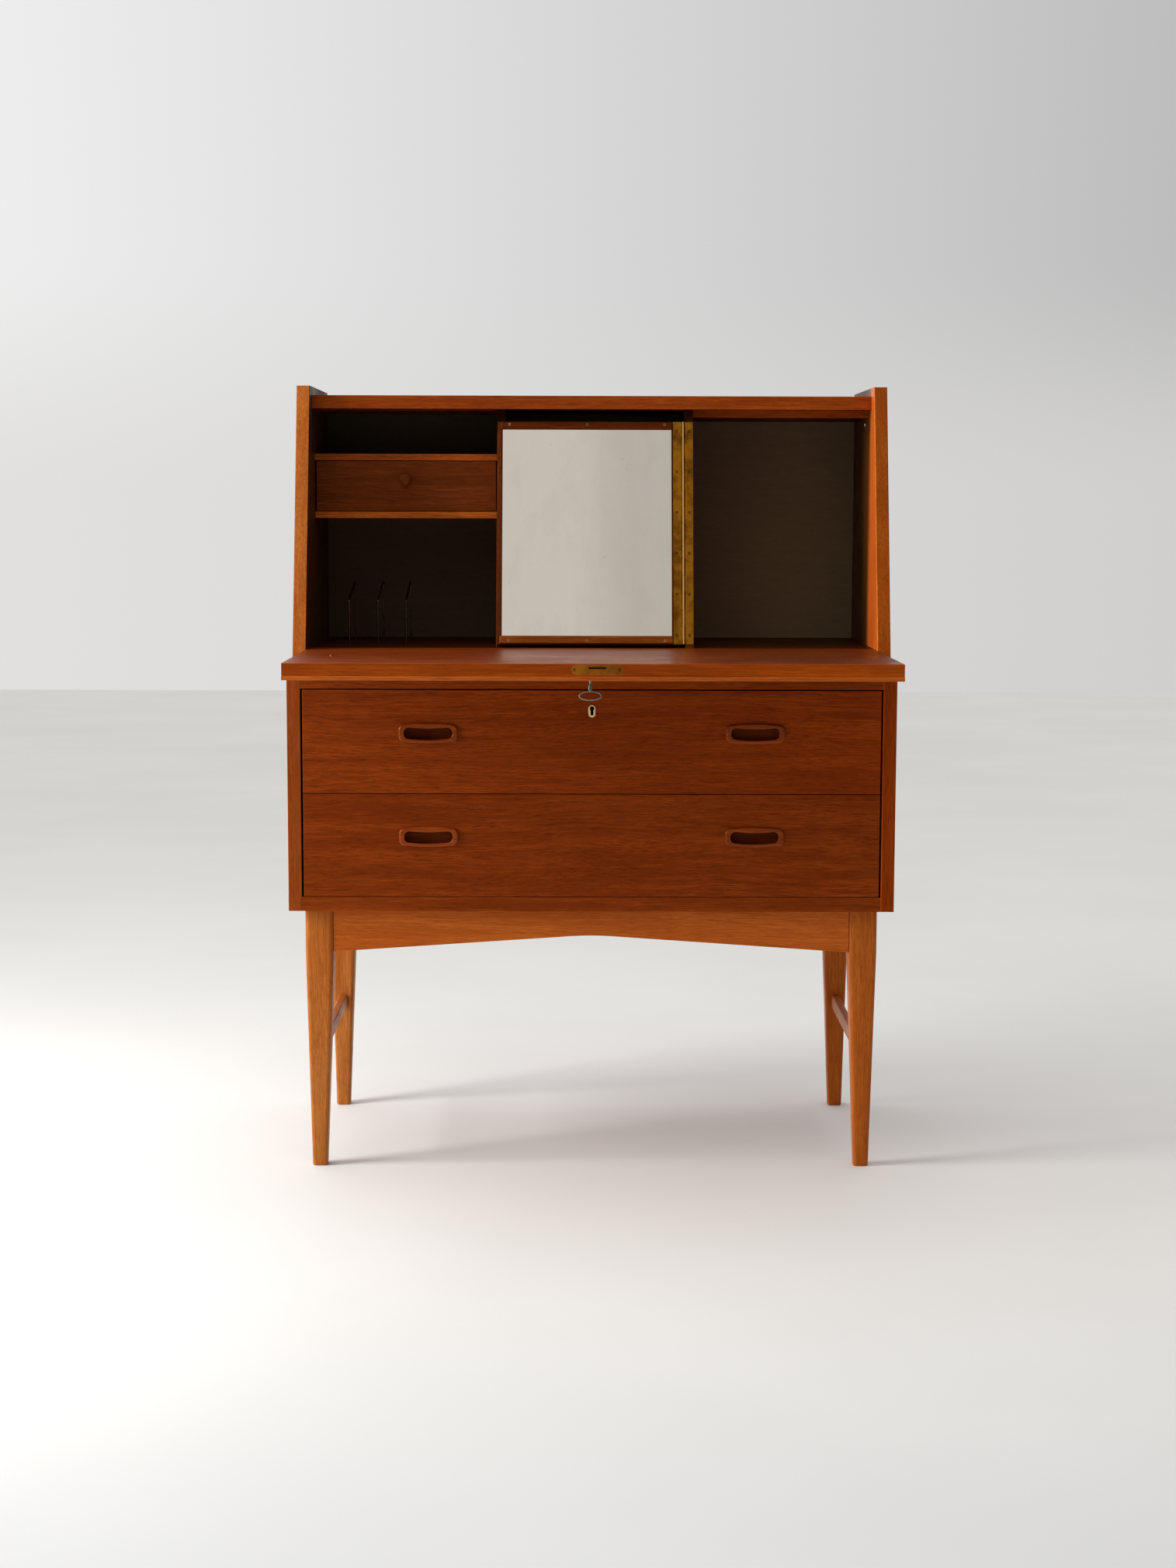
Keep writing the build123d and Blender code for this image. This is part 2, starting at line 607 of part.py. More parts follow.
def build():
    os.makedirs("parts", exist_ok=True)

    # base
    bar = stretcher()
    for name, depth in (("front", leg_front_depth), ("back", leg_back_depth)):
        post = leg(depth) - bar
        save("leg_" + name + "_left", post)
        save("leg_" + name + "_right", mirrored(post))
    save("stretcher_left", bar)
    save("stretcher_right", mirrored(bar))
    save("apron_front", apron(leg_front_depth - leg_top / 2 + 2.5))
    save("apron_back", apron(leg_back_depth + leg_top / 2 - 2.5 - apron_t))
    rail_x = (-leg_top_x - apron_t / 2, -leg_top_x + apron_t / 2)
    rail_span = (leg_front_depth + leg_top / 2, leg_back_depth - leg_top / 2)
    side_rail = block(rail_x, rail_span, (leg_straight_low + 2, case_low))
    save("base_side_rails", side_rail, mirrored(side_rail))

    # flap
    board = flap_board()
    lipping = flap_lipping()
    plate, seat, lock_case, room, bolt, shaft_way, lock_screws = flap_lock()
    case_plate, flap_plate, flap_plate_seat = pivot_plates(board)
    stud_foot = (stud_x, stud_depth, flap_top)
    stud = rod(stud_foot, (0, 0, -1), 1.0, 8.0) + rod(stud_foot, (0, 0, 1), 2.3, 1.8)
    stud = fillet(stud.edges().group_by(Axis.Z)[-1], 1.2)
    board = less(board, [room, shaft_way, flap_plate_seat, mirrored(flap_plate_seat), stud])
    lipping = less(lipping, [seat, room, *lock_screws])
    save("flap_panel", board)
    save("flap_lipping", lipping)
    save("flap_lock_plate", less(plate, lock_screws))
    save("flap_lock_case", less(lock_case, lock_screws))
    save("flap_lock_screws", *lock_screws)
    save("flap_lock_bolt", bolt)
    save("flap_key", flap_key())
    save("flap_stud", stud)
    save("flap_pivot_plates", flap_plate, mirrored(flap_plate))
    save("case_pivot_plates", case_plate, mirrored(case_plate))
    key_plane = Plane(origin=(key_x, at(key_depth), flap_low), x_dir=(1, 0, 0), z_dir=(0, 0, -1))
    escutcheon_hole = rod((key_x, key_depth, flap_low - 2), (0, 0, 1), 2.6, 3.0)
    save("flap_escutcheon", escutcheon(key_plane) - escutcheon_hole)

    # mirror door and its hinge
    door, glass, rails, rail_screws, door_leaf, case_leaf, pin, door_screws, case_screws = mirror_door()
    save("mirror_door_panel", less(door, rail_screws + door_screws))
    save("mirror_glass", glass)
    save("mirror_rails", *[less(rail, rail_screws) for rail in rails])
    save("mirror_rail_screws", *rail_screws)
    save("mirror_hinge_door_leaf", less(door_leaf, door_screws))
    save("mirror_hinge_door_screws", *door_screws)
    save("mirror_hinge_case_leaf", less(case_leaf, case_screws), pin)
    save("mirror_hinge_case_screws", *case_screws)

    # case
    side = side_panel()
    hook = side_hook()
    left = side - case_plate
    save("side_panel_left", left)
    save("side_panel_right", mirrored(left) - hook)
    save("side_hook", hook)
    save("back_panel", back_panel())
    save("bottom_board", block((-inner, inner), (0, back_face), (case_low, bottom_board_high)))
    save("case_board", block((-inner, inner), (rail_deep, back_face), (ledge - board_t, ledge)))
    front_rail = block((-inner, inner), (0, rail_deep), (rail_low, ledge))
    lock_middle = drawer_front_t - lock_t / 2
    drawer_mortise = block(
        (-drawer_bolt_half - 1, drawer_bolt_half + 1),
        (lock_middle - 3.2, lock_middle + 3.2), (rail_low - 1, rail_low + 8.5),
    )
    drawer_strike = block((-20, 20), (lock_middle - 4.5, lock_middle + 4.5), (rail_low, rail_low + 1))
    save("front_rail", front_rail - drawer_mortise - drawer_strike)
    flap_mortise = block(
        (flap_bolt_x - flap_bolt_half - 1.2, flap_bolt_x + flap_bolt_half + 1.2),
        (201.0, 209.5), (top_low - 1, top_low + 9),
    )
    flap_strike = block((flap_bolt_x - 21, flap_bolt_x + 21), (197.6, 213.0), (top_low, top_low + 1))
    save("strike_plates", drawer_strike - drawer_mortise, flap_strike - flap_mortise)
    save("top_panel", top_panel() - flap_mortise - flap_strike)

    # compartments
    dividers = [letter_divider(x) for x in divider_x]
    floor = block((-inner, inner), (desk_floor_front, back_face), (ledge, flap_top))
    floor_edge = floor.edges().filter_by(Axis.X).filter_by(
        lambda e: e.center().Y < at(desk_floor_front) + 0.1 and e.center().Z > flap_top - 1
    )
    floor = fillet(floor_edge, 0.5)
    save("desk_floor", less(floor, dividers))
    save("letter_dividers", *dividers)
    save("partition_left", partition(partition_left_x, door_recess + door_t + 0.3))
    save("partition_right", less(partition(partition_right_x, door_recess), case_screws))
    shelf_x = (-inner, partition_left_x)
    shelf_depth = (shelf_front, back_face)
    save("shelf_upper", block(shelf_x, shelf_depth, (shelf_upper_low, shelf_upper_low + shelf_t)))
    save("shelf_lower", block(shelf_x, shelf_depth, (shelf_lower_low, shelf_lower_low + shelf_t)))
    right_x = (partition_right_x + partition_t, inner)
    save("compartment_board", block(right_x, shelf_depth, (top_low - 10.6, top_low)))
    runners = [runner(lower_front_low), runner(upper_front_low)]
    save("drawer_runners", *runners, *[mirrored(r) for r in runners])

    # upper drawer
    upper_high = upper_front_low + drawer_front_h
    drawer_lock_case, way, drawer_bolt, hole = drawer_lock(upper_high)
    bottom = drawer_bottom(upper_front_low)
    front, pulls = drawer_front(upper_front_low, bottom)
    save("upper_drawer_front", front - drawer_lock_case - hole)
    save("upper_drawer_pulls", *pulls)
    save("upper_drawer_box", *drawer_box(upper_front_low, bottom))
    save("upper_drawer_bottom", bottom)
    save("upper_drawer_lock_case", drawer_lock_case - way - hole)
    save("drawer_lock_bolt", drawer_bolt)
    plane = Plane(origin=(0, at(0), drawer_key_z), x_dir=(1, 0, 0), z_dir=(0, -1, 0))
    save("upper_drawer_escutcheon", escutcheon(plane))

    # lower drawer
    bottom = drawer_bottom(lower_front_low)
    front, pulls = drawer_front(lower_front_low, bottom)
    save("lower_drawer_front", front)
    save("lower_drawer_pulls", *pulls)
    save("lower_drawer_box", *drawer_box(lower_front_low, bottom))
    save("lower_drawer_bottom", bottom)

    # small inner drawer
    front, box_parts, bottom = small_drawer()
    knob = small_knob()
    save("small_drawer_front", front - knob)
    save("small_drawer_box", *box_parts)
    save("small_drawer_bottom", bottom)
    save("small_drawer_knob", knob)
    print("overall depth with the flap down", overall_depth, "pivot depth", round(pivot_depth, 2))


build()
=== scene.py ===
import math

import bpy
from mathutils import Matrix, Vector


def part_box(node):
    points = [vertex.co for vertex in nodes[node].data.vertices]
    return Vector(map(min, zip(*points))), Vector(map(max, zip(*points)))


# Looks, light and camera for the secretary desk. Lengths are in metres, in the CAD frame: X right, Y back,
# Z up. Colours are linear. Textures use each piece's own coordinates, which equal the CAD frame at rest.

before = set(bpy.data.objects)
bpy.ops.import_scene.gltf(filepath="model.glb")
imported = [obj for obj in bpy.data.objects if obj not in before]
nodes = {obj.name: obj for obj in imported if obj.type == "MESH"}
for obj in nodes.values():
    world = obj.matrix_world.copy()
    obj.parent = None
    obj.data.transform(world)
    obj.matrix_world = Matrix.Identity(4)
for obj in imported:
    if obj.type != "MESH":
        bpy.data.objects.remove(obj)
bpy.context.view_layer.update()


# ---- node helpers ----
surface_ior = 1.5
bevel_samples = 4
edge_flat = 0.995              # cosine between true and rounded normal where an arris starts to show
edge_full = 0.80               # and where it shows fully
mix_share = 0                  # sockets of a colour Mix node
mix_a = 6
mix_b = 7
mix_result = 2


def opaque(colour):
    return (*colour, 1.0)


def scaled(colour, factor):
    return tuple(factor * channel for channel in colour)


class Look:
    """A procedural material on the Principled shader, built from object coordinates."""

    def __init__(self, name, metallic=0.0):
        self.material = bpy.data.materials.new(name)
        self.material.use_nodes = True
        self.tree = self.material.node_tree
        self.tree.nodes.clear()
        self.shader = self.add("ShaderNodeBsdfPrincipled")
        self.shader.inputs["Metallic"].default_value = metallic
        self.shader.inputs["IOR"].default_value = surface_ior
        output = self.add("ShaderNodeOutputMaterial")
        self.link(self.shader.outputs[0], output.inputs[0])
        self.place = self.add("ShaderNodeTexCoord").outputs["Object"]

    def add(self, kind):
        return self.tree.nodes.new(kind)

    def link(self, source, target):
        self.tree.links.new(source, target)

    def feed(self, target, value):
        """Links a socket, or sets a plain value."""
        if isinstance(value, bpy.types.NodeSocket):
            self.link(value, target)
        else:
            target.default_value = value

    def vector(self, operation, a, b):
        node = self.add("ShaderNodeVectorMath")
        node.operation = operation
        self.feed(node.inputs[0], a)
        self.feed(node.inputs[1], b)
        return node.outputs[0]

    def math(self, operation, a, b=0.0, clamp=False):
        node = self.add("ShaderNodeMath")
        node.operation = operation
        node.use_clamp = clamp
        self.feed(node.inputs[0], a)
        self.feed(node.inputs[1], b)
        return node.outputs[0]

    def noise(self, place, detail=3.0, rough=0.55, colour=False):
        node = self.add("ShaderNodeTexNoise")
        self.link(place, node.inputs["Vector"])
        node.inputs["Scale"].default_value = 1.0
        node.inputs["Detail"].default_value = detail
        node.inputs["Roughness"].default_value = rough
        return node.outputs["Color" if colour else "Fac"]

    def spread(self, value, low, high, to_low=0.0, to_high=1.0):
        """Maps low..high to to_low..to_high, smoothly and clamped."""
        node = self.add("ShaderNodeMapRange")
        node.interpolation_type = "SMOOTHSTEP"
        self.link(value, node.inputs["Value"])
        node.inputs["From Min"].default_value = low
        node.inputs["From Max"].default_value = high
        node.inputs["To Min"].default_value = to_low
        node.inputs["To Max"].default_value = to_high
        return node.outputs["Result"]

    def mix(self, share, a, b, blend="MIX"):
        node = self.add("ShaderNodeMix")
        node.data_type = "RGBA"
        node.blend_type = blend
        self.feed(node.inputs[mix_share], share)
        for index, colour in ((mix_a, a), (mix_b, b)):
            linked = isinstance(colour, bpy.types.NodeSocket)
            self.feed(node.inputs[index], colour if linked else opaque(colour))
        return node.outputs[mix_result]

    def times(self, a, b):
        """Product of two colours."""
        return self.mix(1.0, a, b, "MULTIPLY")

    def stretched(self, place, scale):
        """Coordinates for a noise: scale is one number, or one for each axis."""
        return self.vector("MULTIPLY", place, scale if isinstance(scale, tuple) else (scale,) * 3)

    def past(self, axis, begin, end):
        """0 before "begin" on an axis and 1 past "end"; axis "W" is the distance from the middle plane."""
        split = self.add("ShaderNodeSeparateXYZ")
        self.link(self.place, split.inputs[0])
        value = self.math("ABSOLUTE", split.outputs["X"]) if axis == "W" else split.outputs[axis]
        if begin > end:
            value = self.math("MULTIPLY", value, -1.0)
            begin = -begin
            end = -end
        return self.spread(value, begin, end)

    def within(self, ranges):
        """Product of the masks of one or more (axis, begin, end) ranges."""
        share = self.past(*ranges[0])
        for limit in ranges[1:]:
            share = self.math("MULTIPLY", share, self.past(*limit))
        return share

    def edge_mask(self, radius):
        """0 on flat faces, up to 1 on outer and inner arrises."""
        bevel = self.add("ShaderNodeBevel")
        bevel.samples = bevel_samples
        bevel.inputs["Radius"].default_value = radius
        geometry = self.add("ShaderNodeNewGeometry")
        dot = self.add("ShaderNodeVectorMath")
        dot.operation = "DOT_PRODUCT"
        self.link(bevel.outputs[0], dot.inputs[0])
        self.link(geometry.outputs["Normal"], dot.inputs[1])
        return self.spread(dot.outputs["Value"], edge_flat, edge_full)

    def bump(self, height, depth, strength):
        node = self.add("ShaderNodeBump")
        node.inputs["Strength"].default_value = strength
        node.inputs["Distance"].default_value = depth
        self.link(height, node.inputs["Height"])
        self.link(node.outputs[0], self.shader.inputs["Normal"])

    def finish(self, colour, rough):
        self.link(colour, self.shader.inputs["Base Color"])
        self.feed(self.shader.inputs["Roughness"], rough)
        return self.material


# ---- wood ----
# Noise scales: features per metre along the grain and across it.
sway_scale = (2.2, 5.0)
cloud_scale = (1.3, 4.0)
band_scale = (2.6, 52.0)
streak_scale = (13.0, 340.0)
fibre_scale = (22.0, 800.0)
pore_scale = (58.0, 1050.0)
patch_scale = (9.0, 110.0)
sheen_scale = 9.0

noise_middle = (0.5, 0.5, 0.5)
seed_shift = (3.71, 1.93, 2.57)    # moves each wood to its own part of the noise
sway_size = 0.035                  # how far the grain wanders from a straight line
middle_share = 0.5
streak_share = 0.46
cloud_share = 0.24
fibre_share = 0.58
pore_tone = 0.42                   # of the dark tone
arris_radius = 0.0012
arris_base = 0.65                  # brightness of a pale arris, to which the wear, and on the pulls the painted highlight, is added
arris_limit = 0.9
pore_rough = 0.2
pore_relief = 0.00012
fibre_relief = 0.35                # against the pores
relief_strength = 0.6
matt_rough = 0.7


def wood(name, grain, seed, dark, middle, light, pore=0.5, figure=1.0, rough=(0.34, 0.52), gleam=0.16,
         tint=(1.0, 0.60, 0.26), wear_and_highlight=0.35, shades=(), matt=None):
    """Oiled wood: waving growth bands, fibres, short dark pores, uneven sheen and paler arrises, which are
    wear, and on the pulls also a painted highlight.

    Each of shades is a colour and one or more (axis, from, to) ranges: past "from" the tone is multiplied
    by the colour, fully at "to", and only where all the ranges hold. Axis "W" is the distance from the
    desk's middle plane. Matt is a range past which the surface is dull. Most shades are painted light or
    painted shade, as the comments at the materials say.
    """
    look = Look(name)
    look.shader.inputs["Specular IOR Level"].default_value = gleam
    look.shader.inputs["Specular Tint"].default_value = opaque(tint)

    def fibrous(place, scale, **settings):
        along, across = scale
        return look.noise(
            look.stretched(place, tuple(along if axis == grain else across for axis in "XYZ")), **settings
        )

    start = look.vector("ADD", look.place, scaled(seed_shift, seed))
    sway = look.vector("SUBTRACT", fibrous(start, sway_scale, detail=2.0, colour=True), noise_middle)
    place = look.vector("ADD", start, look.stretched(sway, sway_size * figure))
    cloud = fibrous(start, cloud_scale, detail=2.0)
    bands = fibrous(place, band_scale, detail=4.0, rough=0.6)
    streaks = fibrous(place, streak_scale, detail=4.0, rough=0.7)
    fibres = fibrous(place, fibre_scale, detail=3.0, rough=0.7)
    pores = look.spread(fibrous(place, pore_scale, detail=1.0), 0.54, 0.70)
    patch = fibrous(place, patch_scale, detail=2.0)
    pores = look.math("MULTIPLY", pores, look.spread(patch, 0.38, 0.62, 0.5, 1.0))

    tone = look.mix(look.spread(bands, 0.34, 0.66), dark, light)
    tone = look.mix(middle_share, tone, middle)
    tone = look.mix(look.spread(streaks, 0.50, 0.70, 0.0, streak_share), tone, dark)
    tone = look.mix(look.spread(streaks, 0.50, 0.30, 0.0, streak_share), tone, light)
    tone = look.mix(look.spread(cloud, 0.35, 0.65, cloud_share, 0.0), tone, dark)
    tone = look.mix(look.spread(fibres, 0.46, 0.58, 0.0, fibre_share), tone, dark)
    tone = look.mix(look.math("MULTIPLY", pores, pore), tone, scaled(dark, pore_tone))
    edge = look.edge_mask(arris_radius)
    wear_and_highlight_tone = tuple(min(arris_limit, channel) for channel in scaled(light, arris_base + wear_and_highlight))
    tone = look.mix(look.math("MULTIPLY", edge, wear_and_highlight), tone, wear_and_highlight_tone)
    for colour, *ranges in shades:
        tone = look.mix(look.within(ranges), tone, look.times(tone, colour))

    sheen = look.noise(look.stretched(start, sheen_scale), detail=3.0)
    gloss = look.spread(sheen, 0.3, 0.7, *rough)
    gloss = look.math("ADD", gloss, look.math("MULTIPLY", pores, pore_rough), clamp=True)
    height = look.math("SUBTRACT", look.math("MULTIPLY", fibres, fibre_relief), pores)
    look.bump(height, pore_relief, relief_strength)
    if matt:
        gloss = look.math("ADD", gloss, look.math("MULTIPLY", look.past(*matt), matt_rough), clamp=True)
    return look.finish(tone, gloss)


# ---- metal and glass ----
tarnish_scale = 38.0
scratch_aspect = 3                 # scratches are this much finer across than along
scratch_share = 0.35
scratch_rough = 0.08
scratch_relief = 0.00006
scratch_strength = 0.5
metal_arris_radius = 0.0005
metal_arris_share = 0.5
metal_arris_gain = 1.3
line_core = 0.6                    # part of a line's half width that has its full colour


def metal(name, colour, tarnish, rough, tarnish_share=0.5, grain=240.0, highlight_and_shade_lines=()):
    """Bare metal with tarnish patches, fine scratches and worn bright arrises.

    Each line is (x, half width, colour): an upright line of painted highlight where its colour is bright,
    and of painted shade where it is dark.
    """
    look = Look(name, metallic=1.0)
    cloud = look.noise(look.stretched(look.place, tarnish_scale), detail=5.0, rough=0.65)
    across = scratch_aspect * grain
    fine = look.noise(look.stretched(look.place, (across, across, grain)), detail=3.0)
    tone = look.mix(look.spread(cloud, 0.38, 0.66, 0.0, tarnish_share), colour, tarnish)
    tone = look.mix(look.spread(fine, 0.55, 0.75, 0.0, scratch_share), tone, tarnish)
    edge = look.edge_mask(metal_arris_radius)
    bright = tuple(min(1.0, channel) for channel in scaled(colour, metal_arris_gain))
    tone = look.mix(look.math("MULTIPLY", edge, metal_arris_share), tone, bright)
    for x, half, line_colour in highlight_and_shade_lines:
        core = line_core * half
        band = look.within([("X", x - half, x - core), ("X", x + half, x + core)])
        tone = look.mix(band, tone, line_colour)
    gloss = look.spread(cloud, 0.3, 0.7, *rough)
    gloss = look.math("ADD", gloss, look.math("MULTIPLY", fine, scratch_rough), clamp=True)
    look.bump(fine, scratch_relief, scratch_strength)
    return look.finish(tone, gloss)


def mirror_glass(name):
    """Old silvered glass, nearly clear, with faint dust and spots of lost silver."""
    silver = (0.88, 0.87, 0.84)
    dusty = (0.78, 0.75, 0.70)
    bare = (0.30, 0.26, 0.20)
    look = Look(name, metallic=1.0)
    dust = look.noise(look.stretched(look.place, (22.0, 22.0, 9.0)), detail=5.0, rough=0.7)
    spots = look.noise(look.stretched(look.place, 190.0), detail=2.0)
    tone = look.mix(look.spread(dust, 0.4, 0.7, 0.0, 0.35), silver, dusty)
    tone = look.mix(look.spread(spots, 0.74, 0.79, 0.0, 0.6), tone, bare)
    return look.finish(tone, look.spread(dust, 0.35, 0.75, 0.012, 0.05))


# ---- palettes ----
def palette(dark, middle, light):
    return {"dark": dark, "middle": middle, "light": light}


def tinted(tones, factors):
    """A palette with each colour channel multiplied by its factor."""
    return {
        key: tuple(channel * factor for channel, factor in zip(tone, factors))
        for key, tone in tones.items()
    }


teak = palette((0.1258, 0.0158, 0.001), (0.2442, 0.0336, 0.0023), (0.3404, 0.0595, 0.0047))
teak_edge = palette((0.1615, 0.0225, 0.0016), (0.3135, 0.048, 0.0038), (0.437, 0.085, 0.0077))
# Lit and shaded copies of the sides' teak: the left one is painted lighter and whiter for the window light
# from the left, the right one darker. Both are paler than the fronts, as the sides' front edges are paler
# lipping.
teak_left_lit = palette((0.29, 0.064, 0.0080), (0.44, 0.116, 0.0160), (0.58, 0.180, 0.0320))
teak_right_shaded = palette((0.26, 0.046, 0.0030), (0.400, 0.080, 0.0058), (0.53, 0.125, 0.0115))
inner = palette((0.075, 0.0130, 0.0015), (0.150, 0.0260, 0.0032), (0.230, 0.044, 0.0060))
oak = palette((0.312, 0.068, 0.0065), (0.456, 0.122, 0.0160), (0.57, 0.183, 0.0340))
oak_apron = tinted(oak, (1.17, 0.92, 0.70))
pale = palette((0.34, 0.21, 0.11), (0.50, 0.34, 0.19), (0.62, 0.46, 0.29))
stained = palette((0.138, 0.096, 0.058), (0.150, 0.105, 0.063), (0.160, 0.112, 0.067))
# The desk floor inside the compartments is far darker than the other inner wood: partly a darker stain,
# partly painted shade of the compartment.
teak_floor = tinted(inner, (0.36, 0.38, 0.45))
teak_inner_front = tinted(inner, (1.32, 1.42, 1.8))
teak_lipping = tinted(teak_edge, (1.12, 1.06, 0.66))
teak_shelf = tinted(teak_edge, (1.45, 1.75, 2.5))
# Painted light: the lower shelf is lighter than the upper one, standing in for light on its edge.
teak_low_shelf_lit = tinted(teak_edge, (2.0, 2.8, 4.6))

# ---- places on the desk, for the shades, which mostly paint light and shade ----
lip_height = 0.0056                # of the flap's lip, from its underside
face_depth = 0.0010                # from a side's inner face into its board
line_offset = 0.0023               # of the hinge's painted highlight line, from the case leaf's left edge
front_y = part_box("lower_drawer_front")[0].y
lip_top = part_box("flap_lipping")[0].z + lip_height
inner_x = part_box("side_panel_right")[0].x + face_depth
back_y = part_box("back_panel")[1].y
board_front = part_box("compartment_board")[0].y
hinge_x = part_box("mirror_hinge_case_leaf")[0].x + line_offset

below_flap = ("Z", 0.725, 0.712)
front_edge = ("Y", front_y + 0.0030, front_y + 0.0015)
behind_edge = ("Y", front_y + 0.0015, front_y + 0.0030)
inner_face = ("W", inner_x, inner_x - 0.0008)
outer_face = ("W", 0.4236, 0.4246)
inner_arris_highlight = (("W", inner_x + 0.0004, inner_x), ("W", inner_x - 0.0012, inner_x - 0.0007))
left_compartment = ("X", -0.13, -0.15)
board_inside = ("Y", back_y, back_y - 0.004)

